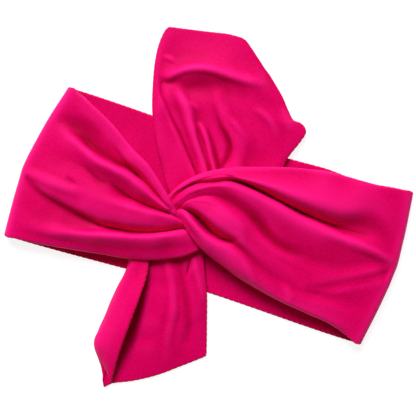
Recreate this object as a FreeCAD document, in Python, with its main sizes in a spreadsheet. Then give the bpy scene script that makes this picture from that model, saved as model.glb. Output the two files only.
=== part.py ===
"""A knotted jersey headband with two tails, lying flat.

Two strips of double jersey, each a face ply and a lining ply sewn together along their long edges, are joined
at the nape. They run apart along the back, turn over at the two side folds, come back as the two wings and
are tied in front in a half knot. Past the knot the left strip is the upper tail and the right strip the lower
one. The frame: +X along the back, +Y across it towards the upper tail, +Z up from the surface that the band
lies on, with the origin at the middle of the back's underside. Millimetres.
"""

import FreeCAD, Part
import math
import os

import Sketcher

Vector = FreeCAD.Vector
Rotation = FreeCAD.Rotation
Placement = FreeCAD.Placement

UP = Vector(0, 0, 1)
ALONG = Vector(1, 0, 0)
ACROSS = Vector(0, 1, 0)

SIZES = {
    # the cloth and the thread
    "ply": 0.8,  # one layer of double brushed jersey
    "thread_radius": 0.25,
    "strip_width": 99.0,
    "nape_half": 46.6,  # half the strips' width where they are joined at the nape
    # the flat loop: from the middle of the back to the outside of each side fold, and how the folds slant
    "left_reach": 116.5,
    "left_fold_turn": -5.5,
    "right_reach": 117.3,
    "right_fold_turn": -2.0,
    "fold_gap": 5.6,  # the hollow inside a soft, unpressed side fold
    "nape_gap": 0.8,  # between the two lining plies, where the nape seam runs
    "seam_standoff": 0.05,  # between a thread and the cloth that it runs along
    # the wings: half way in, where the pleats have begun
    "left_mid_along": -63.5,
    "left_mid_across": -7.7,
    "left_mid_half": 35.3,
    "right_mid_along": 35.0,
    "right_mid_across": 3.2,
    "right_mid_half": 37.0,
    "mid_pleat": 3.6,
    "mid_ply": 1.0,
    # and at their gathered ends, beside the knot
    "left_knot_along": -19.5,
    "left_knot_across": -12.2,
    "left_knot_half": 18.6,
    "left_knot_turn": 38.0,
    "right_knot_along": -7.4,
    "right_knot_across": 0.6,
    "right_knot_half": 22.6,
    "right_knot_turn": 16.5,
    "knot_pleat": 5.0,
    "knot_ply": 1.5,
    "wing_rise": 0.2,  # how much higher a wing's underside is at the knot than at its fold
    # the knot
    "knot_top": 22.0,
    "knot_rounding": 4.0,
    "knot_clear": 0.4,
    "pass_bottom": 2.1,
    "pass_top": 6.6,
    "throat_half": 9.0,
    "upper_throat_depth": 35.0,
    "lower_throat_depth": 24.0,
    # the tails, lifting about lines just outside the edges of the wings that they come out under
    "tail_root_height": 4.0,  # a tail's underside where it leaves the knot
    "tail_clear": 1.2,  # from a lifting line to the cloth that stays
    "upper_line_along": -2.4,
    "upper_line_across": 31.0,
    "upper_line_turn": 17.5,
    "upper_root_half": 37.7,
    "upper_tail_long": 82.0,
    "upper_droop": 2.6,
    "lower_line_along": -19.2,
    "lower_line_across": -35.9,
    "lower_line_turn": 20.8,
    "lower_root_half": 22.3,
    "lower_tail_long": 86.0,
    "lower_droop": 2.5,
}

# a wing's edges and pleats, as shares of the way across it from the +Y edge, at its three stations, and how
# high each stands there as a share of the pleats' height
PLEATS = {
    "left": {
        "fold": [0, 0.06, 0.2, 0.29, 0.42, 0.56, 0.66, 0.9, 1],
        "mid": [0, 0.06, 0.15, 0.25, 0.38, 0.52, 0.75, 0.83, 1],
        "knot": [0, 0.1, 0.2, 0.32, 0.42, 0.55, 0.68, 0.82, 1],
        "height": [0, 0.7, 0.1, 0.8, 0.4, 1, 0.1, 0.7, 0],
    },
    "right": {
        "fold": [0, 0.06, 0.3, 0.38, 0.52, 0.6, 0.72, 0.92, 1],
        "mid": [0, 0.09, 0.25, 0.32, 0.55, 0.66, 0.78, 0.88, 1],
        "knot": [0, 0.09, 0.17, 0.25, 0.33, 0.45, 0.62, 0.77, 1],
        "height": [0, 0.8, 0.1, 0.7, 0.35, 0.9, 0.1, 0.7, 0],
    },
}

# a tail's corners from its root round its end, along its lifting line in half root widths and away from the
# knot in tail lengths
UPPER_SHAPE = [
    (-1.0, 0.0), (-1.1, 0.19), (-1.16, 0.4), (-1.13, 0.53), (-1.1, 0.72), (-1.07, 0.87), (-1.02, 0.96), (-0.93, 1.05),
    (-0.83, 1.06), (-0.31, 1.03), (0.17, 1.0), (0.36, 0.97), (0.53, 0.85), (0.8, 0.68), (1.0, 0.52), (1.14, 0.39),
    (1.31, 0.31), (1.37, 0.26), (1.29, 0.18), (1.08, 0.05), (1.0, 0.0),
]  # fmt: skip
LOWER_SHAPE = [
    (-1.0, 0.0), (-1.11, 0.05), (-1.34, 0.16), (-1.67, 0.33), (-1.99, 0.48), (-2.14, 0.56), (-2.11, 0.61),
    (-2.04, 0.67), (-1.85, 0.77), (-1.97, 0.88), (-1.75, 0.85), (-0.77, 0.84), (-0.03, 0.79), (0.56, 0.74),
    (0.85, 0.71), (0.96, 0.68), (1.01, 0.45), (1.08, 0.25), (1.06, 0.12), (1.0, 0.0),
]  # fmt: skip
MARGIN_SHAPE = [
    (-0.98, 0.02), (-1.09, 0.06), (-1.32, 0.17), (-1.65, 0.34), (-1.97, 0.49), (-2.1, 0.56), (-2.08, 0.61),
    (-2.01, 0.67), (-1.83, 0.76), (-1.74, 0.83), (-1.51, 0.71), (-1.24, 0.55), (-0.94, 0.36), (-0.74, 0.24),
    (-0.54, 0.12), (-0.45, 0.02),
]  # fmt: skip


class Term:
    """A number that is in the sheet or is worked out from it, with the expression that says how."""

    def __init__(self, value, text):
        self.value = value
        self.text = text

    def __add__(self, other):
        other = term(other)
        return Term(self.value + other.value, f"({self.text} + {other.text})")

    def __sub__(self, other):
        other = term(other)
        return Term(self.value - other.value, f"({self.text} - {other.text})")

    def __mul__(self, other):
        other = term(other)
        return Term(self.value * other.value, f"({self.text} * {other.text})")

    def __truediv__(self, other):
        other = term(other)
        return Term(self.value / other.value, f"({self.text} / {other.text})")

    def __neg__(self):
        return Term(-self.value, f"(0 - {self.text})")

    def sin(self):
        return Term(math.sin(math.radians(self.value)), f"sin({self.text} * 1deg)")

    def cos(self):
        return Term(math.cos(math.radians(self.value)), f"cos({self.text} * 1deg)")

    def tan(self):
        return Term(math.tan(math.radians(self.value)), f"tan({self.text} * 1deg)")


def term(value):
    """The value itself if it is a Term, or a plain number as one."""
    return value if isinstance(value, Term) else Term(float(value), f"{value}")


def make_sheet(doc):
    """Writes the sizes into a spreadsheet and returns them as Terms, by name."""
    sheet = doc.addObject("Spreadsheet::Sheet", "Sizes")
    found = {}
    for row, (name, value) in enumerate(SIZES.items(), start=1):
        sheet.set(f"A{row}", name)
        sheet.set(f"B{row}", str(value))
        sheet.setAlias(f"B{row}", name)
        found[name] = Term(value, f"Sizes.{name}")
    doc.recompute()
    return found


doc = FreeCAD.newDocument("knotted_headband")
size = make_sheet(doc)

ply = size["ply"]
half_width = size["strip_width"] / 2
fold_inner = size["fold_gap"] / 2
fold_outer = fold_inner + ply * 2
wing_bottom = ply * 2 + size["fold_gap"]
parts = {}


# ---------------------------------------------------------------- helpers


def origin_plane(body, role):
    """One of a body's own origin planes, by its role."""
    return next(o for o in body.Origin.OriginFeatures if o.Role == role)


def new_body(label):
    """A PartDesign body with its label, kept as a sub-part."""
    body = doc.addObject("PartDesign::Body", label)
    body.Label = label
    parts[label] = body
    return body


def new_sketch(body, name, role, offset, turn=None):
    """A sketch on one of its body's planes, moved by three Terms and turned about the plane's second axis."""
    sketch = body.newObject("Sketcher::SketchObject", name)
    sketch.AttachmentSupport = [(origin_plane(body, role), "")]
    sketch.MapMode = "FlatFace"
    turn = turn or term(0)
    moved = Vector(*(o.value for o in offset))
    sketch.AttachmentOffset = Placement(moved, Rotation(Vector(0, 1, 0), turn.value))
    for axis, value in zip("xyz", offset):
        sketch.setExpression(f".AttachmentOffset.Base.{axis}", value.text)
    return sketch


def polygon(sketch, corners):
    """Draws a closed polygon whose corners are pairs of Terms, each bound by its two distances to the origin."""
    count = len(corners)
    points = [Vector(x.value, y.value, 0) for x, y in corners]
    for i, start in enumerate(points):
        sketch.addGeometry(Part.LineSegment(start, points[(i + 1) % count]), False)
    for i in range(count):
        sketch.addConstraint(Sketcher.Constraint("Coincident", i, 2, (i + 1) % count, 1))
    for i, pair in enumerate(corners):
        for kind, value in zip(("DistanceX", "DistanceY"), pair):
            at = sketch.addConstraint(Sketcher.Constraint(kind, -1, 1, i, 1, value.value))
            sketch.setExpression(f"Constraints[{at}]", value.text)


def slab(label, corners, bottom, thick):
    """A flat piece of cloth: an outline on the XY plane, lifted to its bottom and padded."""
    body = new_body(label)
    sketch = new_sketch(body, label + "_outline", "XY_Plane", (term(0), term(0), bottom))
    polygon(sketch, corners)
    pad = body.newObject("PartDesign::Pad", label + "_pad")
    pad.Profile = sketch
    pad.Length = thick.value
    pad.setExpression("Length", thick.text)
    return body


def place(made, base):
    """Binds a placement's three distances to their Terms."""
    for axis, value in zip("xyz", base):
        made.setExpression(f".Placement.Base.{axis}", value.text)


def point(pair, height):
    """A corner of the XY plane, as a pair of Terms, lifted to a height."""
    return Vector(pair[0].value, pair[1].value, height)


def thread(points, radius):
    """A thread that runs through points with a rounded turn at each, as one solid."""
    runs = [Part.makeCylinder(radius, (b - a).Length, a, b - a) for a, b in zip(points, points[1:])]
    turns = [Part.makeSphere(radius, p) for p in points[1:-1]]
    return runs[0].multiFuse(runs[1:] + turns) if turns else runs[0]


def feature(label, solids):
    """A Part::Feature that holds one or several separate solids."""
    made = doc.addObject("Part::Feature", label)
    made.Label = label
    made.Shape = solids[0] if len(solids) == 1 else Part.makeCompound(solids)
    parts[label] = made
    return made


# ---------------------------------------------------------------- one strip: its back, its side fold, its wing


class Strip:
    """One of the two strips that are joined at the nape: side is -1 for the left one and 1 for the right one."""

    def __init__(self, name, side):
        self.name = name
        self.side = side
        self.fold_turn = size[f"{name}_fold_turn"]
        self.fold_along = (size[f"{name}_reach"] - fold_outer) * side

    def at_fold(self, across):
        """The point of the line where the flat back ends and the side fold begins."""
        return (self.fold_along - across * self.fold_turn.tan(), across)

    def back_ply(self, kind, bottom, nape):
        """Half of the back, from the nape seam to the side fold."""
        near = nape * self.side
        narrow = size["nape_half"]
        corners = [(near, -narrow), self.at_fold(-half_width), self.at_fold(half_width), (near, narrow)]
        slab(f"back_{self.name}_{kind}_ply", corners if self.side > 0 else corners[::-1], bottom, ply)

    def fold_ply(self, kind, inner):
        """The half turn that a ply makes over the side fold: a half ring as long as the strip is wide."""
        label = f"{self.name}_fold_{kind}_ply"
        long = half_width * 2 / self.fold_turn.cos()
        start = (*self.at_fold(-half_width), fold_outer)
        rings = []
        for which, radius in (("outer", inner + ply), ("inner", inner)):
            ring = doc.addObject("Part::Cylinder", f"{label}_{which}")
            ring.Angle = 180
            ring.Radius = radius.value
            ring.Height = long.value
            ring.setExpression("Radius", radius.text)
            ring.setExpression("Height", long.text)
            ring.Placement = Placement(Vector(*(x.value for x in start)), self.fold_rotation())
            place(ring, start)
            rings.append(ring)
        fold = doc.addObject("Part::Cut", label)
        fold.Label = label
        fold.Base, fold.Tool = rings
        parts[label] = fold

    def fold_rotation(self):
        """Turns a half ring about +Z into one about the fold's line, with its open side towards the back."""
        rolled = Rotation(UP, self.fold_turn.value).multVec(ACROSS)
        outward = rolled.cross(UP) * self.side
        return Rotation(outward.cross(rolled), outward, rolled, "ZYX")

    def wing_ply(self, kind, layer):
        """One ply of the wing: a loft from the fold to the pleated knot, 0 for the lining and 1 for the face."""
        label = f"{self.name}_wing_{kind}_ply"
        body = new_body(label)
        stations = []
        for station in ("fold", "mid", "knot"):
            centre, half, turn, pleat, thick = self.station(station)
            lift = wing_bottom if station == "fold" else wing_bottom + size["wing_rise"]
            sketch = new_sketch(
                body, f"{label}_at_{station}", "YZ_Plane", (centre[1], lift + thick * layer, centre[0]), turn
            )
            pleats = PLEATS[self.name]
            low = [
                (half * (1 - 2 * share), pleat * height)
                for share, height in zip(pleats[station], pleats["height"])
            ]
            polygon(sketch, low + [(across, up + thick) for across, up in reversed(low)])
            stations.append(sketch)
        loft = body.newObject("PartDesign::AdditiveLoft", label + "_loft")
        loft.Profile = stations[0]
        loft.Sections = stations[1:]
        loft.Ruled = True

    def station(self, station):
        """Where a cross-section of the wing is: its middle, half width, turn, pleat height and ply thickness."""
        if station == "fold":
            turn = self.fold_turn
            return self.at_fold(term(0)), half_width / turn.cos(), turn, term(0), ply
        middle = (size[f"{self.name}_{station}_along"], size[f"{self.name}_{station}_across"])
        turn = size[f"{self.name}_knot_turn"] if station == "knot" else term(0)
        return middle, size[f"{self.name}_{station}_half"], turn, size[f"{station}_pleat"], size[f"{station}_ply"]

    def edge(self, station, end):
        """A corner of a station: end is 1 for the one towards +Y and -1 for the other."""
        centre, half, turn, _, _ = self.station(station)
        return (centre[0] - half * end * turn.sin(), centre[1] + half * end * turn.cos())

    def edge_thread(self):
        """The seams along both long edges, from the nape round the side fold and along the wing to the knot."""
        radius = size["thread_radius"].value
        away = radius + size["seam_standoff"].value
        solids = []
        for end in (1, -1):
            across = half_width * end
            out = ACROSS * (away * end)
            nape = Vector(size["nape_gap"].value * self.side, size["nape_half"].value * end, ply.value)
            solids.append(thread([nape + out, point(self.at_fold(across), ply.value) + out], radius))
            ring = Part.makeTorus(fold_inner.value + ply.value, radius, Vector(0, 0, 0), UP, 0, 360, 180)
            along_fold = self.fold_rotation().multVec(UP) * (away * end)
            centre = point(self.at_fold(across), fold_outer.value) + along_fold * 2
            ring.Placement = Placement(centre, self.fold_rotation())
            solids.append(ring)
            corners = [
                point(self.edge("fold", end), wing_bottom.value + ply.value),
                point(self.edge("mid", end), self.seam_height("mid_ply")),
                point(self.edge("knot", end), self.seam_height("knot_ply")),
            ]
            corners[0] += (corners[1] - corners[0]) * 0.02
            solids.append(thread([c + out * 1.8 for c in corners], radius))
        feature(f"{self.name}_strip_edge_thread", solids)

    def seam_height(self, thick):
        """How high the line between a wing's two plies is along its edges."""
        return (wing_bottom + size["wing_rise"] + size[thick]).value


def nape_thread():
    """The nape seam's thread, one long stitch after another, in the gap between the lining plies."""
    stitch, pitch = 2.4, 3.0
    count = int(size["nape_half"].value * 2 / pitch)
    height = ply.value * 1.5
    starts = [(i - count / 2) * pitch + (pitch - stitch) / 2 for i in range(count)]
    ends = [(Vector(0, y, height), Vector(0, y + stitch, height)) for y in starts]
    feature("nape_seam_thread", [thread(pair, size["thread_radius"].value) for pair in ends])


# ---------------------------------------------------------------- the knot


def knot_over_strand(left, right):
    """The right strip where it lies over the end of the left one, between the two gathered ends."""
    gap = size["knot_clear"]
    corners = [(x + gap, y) for x, y in (left.edge("knot", 1), left.edge("knot", -1))]
    corners += [(x - gap, y) for x, y in (right.edge("knot", -1), right.edge("knot", 1))]
    bottom = wing_bottom + size["wing_rise"]
    body = slab("knot_over_strand", corners, bottom, size["knot_top"] - bottom)
    doc.recompute()
    pad = body.Tip
    level = size["knot_top"].value - 0.01
    edges = [
        f"Edge{i}"
        for i, edge in enumerate(pad.Shape.Edges, start=1)
        if all(v.Z > level for v in edge.Vertexes)
    ]
    fillet = body.newObject("PartDesign::Fillet", "knot_rounded")
    fillet.Base = (pad, edges)
    fillet.Radius = size["knot_rounding"].value
    fillet.setExpression("Radius", size["knot_rounding"].text)


class Tail:
    """One of the tails: away is 1 for the upper one, which leads towards +Y, and -1 for the lower one."""

    def __init__(self, name, away, shape):
        self.name = name
        self.away = away
        self.shape = shape
        self.turn = size[f"{name}_line_turn"]
        self.half = size[f"{name}_root_half"]
        self.long = size[f"{name}_tail_long"]

    def corner(self, along, out):
        """A point beside the lifting line, both distances from the line's middle, as a pair of Terms."""
        out = out * self.away
        return (
            size[f"{self.name}_line_along"] + along * self.turn.cos() - out * self.turn.sin(),
            size[f"{self.name}_line_across"] + along * self.turn.sin() + out * self.turn.cos(),
        )

    def outline(self, shape):
        """The corners of a shape that is given in half root widths and tail lengths."""
        return [self.corner(self.half * along, self.long * out) for along, out in shape]

    def knot_pass(self):
        """The strip on its way under the other wing: it fans out from the knot's throat to the lifting line."""
        label = f"knot_{self.name}_pass"
        body = new_body(label)
        high = size["pass_top"] - size["pass_bottom"]
        stations = []
        for name, back, half, bottom, thick in (
            ("throat", size[f"{self.name}_throat_depth"], size["throat_half"], size["pass_bottom"], high),
            ("root", size["tail_clear"], self.half, size["tail_root_height"], ply * 2),
        ):
            middle = self.corner(term(0), -back)
            sketch = new_sketch(body, f"{label}_{name}", "XZ_Plane", (middle[0], bottom, -middle[1]), self.turn)
            polygon(sketch, [(-half, term(0)), (half, term(0)), (half, thick), (-half, thick)])
            stations.append(sketch)
        loft = body.newObject("PartDesign::AdditiveLoft", label + "_loft")
        loft.Profile = stations[0]
        loft.Sections = stations[1:]
        loft.Ruled = True

    def droop(self):
        """The placement that tips the tail down from its lifting line to the surface that its end lies on."""
        axis = Rotation(UP, self.turn.value).multVec(ALONG) * self.away
        middle = point(self.corner(term(0), term(0)), size["tail_root_height"].value)
        tip = Rotation(axis, -size[f"{self.name}_droop"].value)
        return Placement(middle - tip.multVec(middle), tip)

    def tail_ply(self, label, shape, layer):
        """One ply of the tail, or of its turned-over margin, lying on the layers below it."""
        body = slab(label, self.outline(shape), size["tail_root_height"] + ply * layer, ply)
        body.Placement = self.droop()

    def edge_thread(self):
        """The seam that closes the tail along its sides and its end, just outside the plies' edges."""
        radius = size["thread_radius"].value
        level = (size["tail_root_height"] + ply).value
        corners = [point(c, level) for c in self.outline(self.shape)]
        wire = Part.makePolygon(corners + corners[:1])
        grown = wire.makeOffset2D(radius + size["seam_standoff"].value, 2)
        points = [v.Point for v in grown.OrderedVertexes]
        first, last = (
            min(range(len(points)), key=lambda i: (points[i] - corner).Length)
            for corner in (corners[0], corners[-1])
        )
        step = 1 if (first + 1) % len(points) != last else -1
        order = [points[(first + step * i) % len(points)] for i in range(len(points))]
        made = feature(f"{self.name}_tail_edge_thread", [thread(order, radius)])
        made.Placement = self.droop()


# ---------------------------------------------------------------- the assembly

strips = [Strip("left", -1), Strip("right", 1)]
for strip in strips:
    strip.back_ply("face", term(0), term(0))
    strip.back_ply("lining", ply, size["nape_gap"] / 2)
    strip.fold_ply("face", fold_inner + ply)
    strip.fold_ply("lining", fold_inner)
    strip.wing_ply("lining", 0)
    strip.wing_ply("face", 1)
    strip.edge_thread()
nape_thread()
knot_over_strand(*strips)

upper = Tail("upper", 1, UPPER_SHAPE)
lower = Tail("lower", -1, LOWER_SHAPE)
for tail in (upper, lower):
    tail.knot_pass()
    tail.tail_ply(f"{tail.name}_tail_lining_ply", tail.shape, 0)
    tail.tail_ply(f"{tail.name}_tail_face_ply", tail.shape, 1)
    tail.edge_thread()
lower.tail_ply("lower_margin_face_ply", MARGIN_SHAPE, 2)
lower.tail_ply("lower_margin_lining_ply", MARGIN_SHAPE, 3)

# ---------------------------------------------------------------- checks and export

doc.recompute()
for made in doc.Objects:
    if "Invalid" in made.State or "Error" in made.State:
        raise RuntimeError(f"{made.Label} did not build: {made.State}")
os.makedirs("parts", exist_ok=True)
for label, made in parts.items():
    shape = made.Shape
    if shape.isNull() or not shape.isValid() or not shape.Solids:
        raise RuntimeError(f"{label} is not a valid solid")
for label, made in parts.items():
    made.Shape.exportStep(f"parts/{label}.step")
    print(f"{label}: {len(made.Shape.Solids)} solids, {made.Shape.Volume / 1000:.3f} cm3")
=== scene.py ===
"""A knotted jersey headband with two tails, lying flat with its knot up.

Two strips of double jersey run from the nape seam, over the side folds and back as the two wings,
and are tied in a half knot. The left strip leaves it as the upper tail and the right strip as the
lower one. Every sheet of cloth is lofted over rails, the lines of its pleats' crests and creases,
which are given in millimetres.
"""

from __future__ import annotations

import logging
import math
from dataclasses import dataclass
from enum import Enum

import bpy
import numpy as np
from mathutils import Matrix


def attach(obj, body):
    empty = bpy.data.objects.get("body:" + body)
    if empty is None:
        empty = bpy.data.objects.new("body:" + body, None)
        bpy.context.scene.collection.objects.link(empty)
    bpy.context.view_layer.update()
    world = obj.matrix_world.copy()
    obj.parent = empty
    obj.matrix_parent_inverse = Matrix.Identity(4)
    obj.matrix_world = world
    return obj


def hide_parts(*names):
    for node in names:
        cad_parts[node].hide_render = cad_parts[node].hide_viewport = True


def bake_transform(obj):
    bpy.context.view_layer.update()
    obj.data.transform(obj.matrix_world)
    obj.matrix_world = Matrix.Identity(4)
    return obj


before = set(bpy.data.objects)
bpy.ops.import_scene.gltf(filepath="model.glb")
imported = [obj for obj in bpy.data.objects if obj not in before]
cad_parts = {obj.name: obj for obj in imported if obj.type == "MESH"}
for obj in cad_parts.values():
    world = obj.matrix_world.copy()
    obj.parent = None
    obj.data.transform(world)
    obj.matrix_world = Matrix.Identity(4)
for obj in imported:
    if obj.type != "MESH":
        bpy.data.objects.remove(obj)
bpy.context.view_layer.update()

log = logging.getLogger("headband")

MM = 0.001
RAIL_SAMPLES = 24  # between two of a rail's points, before it is evened out
CREASE_SAMPLES = 6  # between two of a crease's points
SMOOTH_BORDER = 6  # columns at a cloth's side edges where its wrinkles fade out
Rail = tuple[float, ...]  # a line's points: x, y and z of each in turn, in mm


class Side(Enum):
    """Which of two plies a piece is: the face looks out of the loop, the lining into it."""

    FACE = 1
    LINING = -1


# ---------------------------------------------------------------- finishes


def linear(code: str) -> tuple[float, float, float, float]:
    """Turns an sRGB hex colour into the linear one that a shader reads.

    Args:
        code: The colour, such as "#C0FFEE".

    Returns:
        Red, green, blue and an alpha of 1.
    """
    parts = [int(code[i : i + 2], 16) / 255 for i in (1, 3, 5)]
    bent = [c / 12.92 if c <= 0.04045 else ((c + 0.055) / 1.055) ** 2.4 for c in parts]
    return (bent[0], bent[1], bent[2], 1.0)


class Graph:
    """A material's node tree, with one way to add a node."""

    def __init__(self, name: str) -> None:
        """Starts an empty material.

        Args:
            name: The material's name.
        """
        self.material = bpy.data.materials.new(name)
        self.material.use_nodes = True
        self.tree = self.material.node_tree
        self.tree.nodes.clear()

    def add(self, kind: str, settings: dict | None = None, **inputs: object) -> bpy.types.Node:
        """Adds a node with its settings, and with its inputs set or linked.

        Args:
            kind: The node's type.
            settings: Its properties, by name.
            **inputs: Its inputs, with underscores for spaces or i and a number for an index: a
                value, or an output socket or a node to link from.

        Returns:
            The new node.
        """
        node = self.tree.nodes.new(kind)
        for key, value in (settings or {}).items():
            setattr(node, key, value)
        for key, value in inputs.items():
            plain = key[0] == "i" and key[1:].isdigit()
            socket = node.inputs[int(key[1:]) if plain else key.replace("_", " ")]
            if isinstance(value, bpy.types.Node):
                value = value.outputs[0]
            if isinstance(value, bpy.types.NodeSocket):
                self.tree.links.new(value, socket)
            else:
                socket.default_value = value
        return node


# the kinds of node and the settings that come up again and again
MATH, MIX, BUMP = "ShaderNodeMath", "ShaderNodeMix", "ShaderNodeBump"
NOISE, COORDINATES, SURFACE = "ShaderNodeTexNoise", "ShaderNodeTexCoord", "ShaderNodeBsdfPrincipled"
OUTPUT = "ShaderNodeOutputMaterial"
TIMES, TIMES_PLUS = {"operation": "MULTIPLY"}, {"operation": "MULTIPLY_ADD"}
COLOURS = {"data_type": "RGBA"}
MIXED = 2  # a colour mix node's colour output
PER_METRE = 1000  # patterns are sized in mm, and a texture's scale counts them in a metre


@dataclass(frozen=True)
class Jersey:
    """Double-brushed polyester and elastane jersey, dyed hot pink: a matt knit with a soft nap."""

    name: str = "brushed_jersey"
    colour: str = "#E0005F"  # the cloth in even light
    shade: str = "#CA0048"  # where the nap lies the other way
    creased: str = "#8E0018"  # painted shade, deep in a crease
    crest_highlight: str = "#FF1F86"  # painted highlight, along a crest
    shade_share: float = 0.8  # how much of the painted crease shade a full crease gets
    highlight_share: float = 0.55  # how much of the painted highlight a full crest gets
    wale: float = 1.1  # mm between columns of stitches: 0.6 is real, drawn coarse enough to show
    course: float = 0.9  # mm between rows of stitches, drawn coarse in the same way
    loop: float = 0.3  # how far a loop's own curve shows, as a share of the stitch's depth
    stitch_depth: float = 0.05  # mm
    nap: float = 1.6  # mm, the size of a tuft: fibres are far finer and would not show
    nap_depth: float = 0.2  # mm
    fleck: float = 1.3  # mm, the size of the fine specks of the other tone
    patch: float = 26.0  # mm, the size of the slow patches of it
    roughness: float = 0.5
    specular: float = 0.22  # brushed fibres reflect less than a closed surface
    sheen: float = 0.03

    def build(self) -> bpy.types.Material:
        """Makes the material: V stitches along the cloth, a fine nap, a slow change of tone,
        painted shade and a painted highlight.

        Returns:
            The material.
        """
        g = Graph(self.name)
        plane = g.add("ShaderNodeUVMap", {"uv_map": "cloth"})
        along, across, _ = g.add("ShaderNodeSeparateXYZ", Vector=plane).outputs
        turn = 2 * math.pi
        column = g.add(MATH, TIMES, i0=across, i1=PER_METRE / self.wale)
        # two slanting legs in each column make the V of a knit stitch
        leg = g.add(MATH, {"operation": "PINGPONG"}, i0=column, i1=0.5)
        slant = g.add(MATH, TIMES, i0=leg, i1=turn)
        phase = g.add(MATH, TIMES_PLUS, i0=along, i1=turn * PER_METRE / self.course, i2=slant)
        wave = g.add(MATH, {"operation": "SINE"}, i0=phase)
        loops = g.add(MATH, TIMES, i0=wave, i1=self.loop)
        groove = g.add(MATH, {"operation": "POWER"}, i0=leg, i1=4.0)
        # the groove is 1/16 at its deepest, so 16 makes it the whole stitch's depth
        stitch = g.add(MATH, TIMES_PLUS, i0=groove, i1=-16.0, i2=loops)
        where = g.add(COORDINATES).outputs["Object"]
        tufts = g.add(NOISE, Vector=where, Scale=PER_METRE / self.nap, Detail=3.0, Roughness=0.65)
        knit = g.add(BUMP, Height=stitch, Distance=self.stitch_depth * MM, Strength=0.5)
        nap = g.add(BUMP, Height=tufts, Distance=self.nap_depth * MM, Strength=0.6, Normal=knit)
        slow = g.add(NOISE, Vector=where, Scale=PER_METRE / self.patch, Detail=2.0)
        fleck = g.add(NOISE, Vector=where, Scale=PER_METRE / self.fleck, Detail=2.0)
        # the specks have twice the noise's contrast, about its middle, and the patches add to them
        fine = g.add(MATH, TIMES_PLUS, i0=fleck, i1=2.0, i2=-0.85)
        mottle = g.add(MATH, TIMES_PLUS, i0=slow, i1=0.6, i2=fine)
        tones = {"i6": linear(self.colour), "i7": linear(self.shade)}
        tone = g.add(MIX, COLOURS, i0=mottle, **tones).outputs[MIXED]
        # painted shade darkens the creases and a painted highlight lightens the crests, by the
        # relief
        painted_light_mask = g.add("ShaderNodeAttribute", {"attribute_name": "relief"}).outputs["Fac"]
        for strength, colour in ((-self.shade_share, self.creased), (self.highlight_share, self.crest_highlight)):
            share = g.add(MATH, {**TIMES, "use_clamp": True}, i0=painted_light_mask, i1=strength)
            tone = g.add(MIX, COLOURS, i0=share, i6=tone, i7=linear(colour)).outputs[MIXED]
        cloth = g.add(
            SURFACE,
            Base_Color=tone,
            Normal=nap,
            Roughness=self.roughness,
            IOR=1.45,
            Specular_IOR_Level=self.specular,
            Specular_Tint=linear("#FF5F9E"),
            Sheen_Weight=self.sheen,
            Sheen_Roughness=0.35,
            Sheen_Tint=linear("#FF5C98"),
        )
        g.add(OUTPUT, Surface=cloth)
        return g.material


@dataclass(frozen=True)
class SewingThread:
    """Spun polyester sewing thread, dyed to match: a twisted two-ply yarn, slightly lustrous."""

    name: str = "sewing_thread"
    colour: str = "#D4004F"
    groove: str = "#B90044"  # painted shade, between the turns of the twist
    twist: float = 0.5  # mm between turns of the twist
    depth: float = 0.05  # mm
    roughness: float = 0.5

    def build(self) -> bpy.types.Material:
        """Makes the material, with the twist as slanting bands of bump and painted shade.

        Returns:
            The material.
        """
        g = Graph(self.name)
        where = g.add(COORDINATES).outputs["Object"]
        # a diagonal band is about a third of the texture's own unit
        diagonal = {"bands_direction": "DIAGONAL"}
        wave = g.add("ShaderNodeTexWave", diagonal, Vector=where, Scale=300 / self.twist)
        bands = wave.outputs[1]
        twisted = g.add(BUMP, Height=bands, Distance=self.depth * MM, Strength=0.6)
        # painted shade in the grooves between the turns
        tones = {"i6": linear(self.colour), "i7": linear(self.groove)}
        tone = g.add(MIX, COLOURS, i0=bands, **tones).outputs[MIXED]
        look = {"Base_Color": tone, "Normal": twisted, "Roughness": self.roughness}
        g.add(OUTPUT, Surface=g.add(SURFACE, IOR=1.5, **look))
        return g.material


@dataclass(frozen=True)
class PaperSweep:
    """Matt white card, as a plain studio floor, lit through so that it stays pale."""

    name: str = "white_card"
    colour: str = "#808080"
    glow: float = 0.86

    def build(self) -> bpy.types.Material:
        """Makes the material, with a faint tooth.

        Returns:
            The material.
        """
        g = Graph(self.name)
        where = g.add(COORDINATES).outputs["Object"]
        tooth = g.add(NOISE, Vector=where, Scale=900.0, Detail=2.0)  # a grain of about 1.1 mm
        rough = g.add(BUMP, Height=tooth, Distance=0.02 * MM, Strength=0.2)
        look = {"Base_Color": linear(self.colour), "Normal": rough, "Roughness": 0.9}
        glow = {"Emission_Color": linear("#FFFFFF"), "Emission_Strength": self.glow}
        g.add(OUTPUT, Surface=g.add(SURFACE, **look, **glow))
        return g.material


# ---------------------------------------------------------------- lofting


def spline(points: np.ndarray, counts: list[int]) -> np.ndarray:
    """Runs a centripetal Catmull-Rom spline through points, which keeps it from overshooting.

    Args:
        points: Control points along the first axis, for any number of splines along the second.
        counts: How many samples each interval between control points gets.

    Returns:
        The sampled points, the last control point included.
    """
    ends = np.concatenate([2 * points[:1] - points[1:2], points, 2 * points[-1:] - points[-2:-1]])
    gaps = np.maximum(np.linalg.norm(np.diff(ends, axis=0), axis=2), 1e-6) ** 0.5
    knots = np.concatenate([np.zeros((1, gaps.shape[1])), np.cumsum(gaps, axis=0)])
    rows = []
    for i, count in enumerate(counts):
        p0, p1, p2, p3 = ends[i : i + 4]
        t0, t1, t2, t3 = (k[:, None] for k in knots[i : i + 4])
        for step in np.arange(count) / count:
            t = t1 + (t2 - t1) * step
            a1 = ((t1 - t) * p0 + (t - t0) * p1) / (t1 - t0)
            a2 = ((t2 - t) * p1 + (t - t1) * p2) / (t2 - t1)
            a3 = ((t3 - t) * p2 + (t - t2) * p3) / (t3 - t2)
            b1 = ((t2 - t) * a1 + (t - t0) * a2) / (t2 - t0)
            b2 = ((t3 - t) * a2 + (t - t1) * a3) / (t3 - t1)
            rows.append(((t2 - t) * b1 + (t - t1) * b2) / (t2 - t1))
    rows.append(points[-1])
    return np.array(rows)


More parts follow.
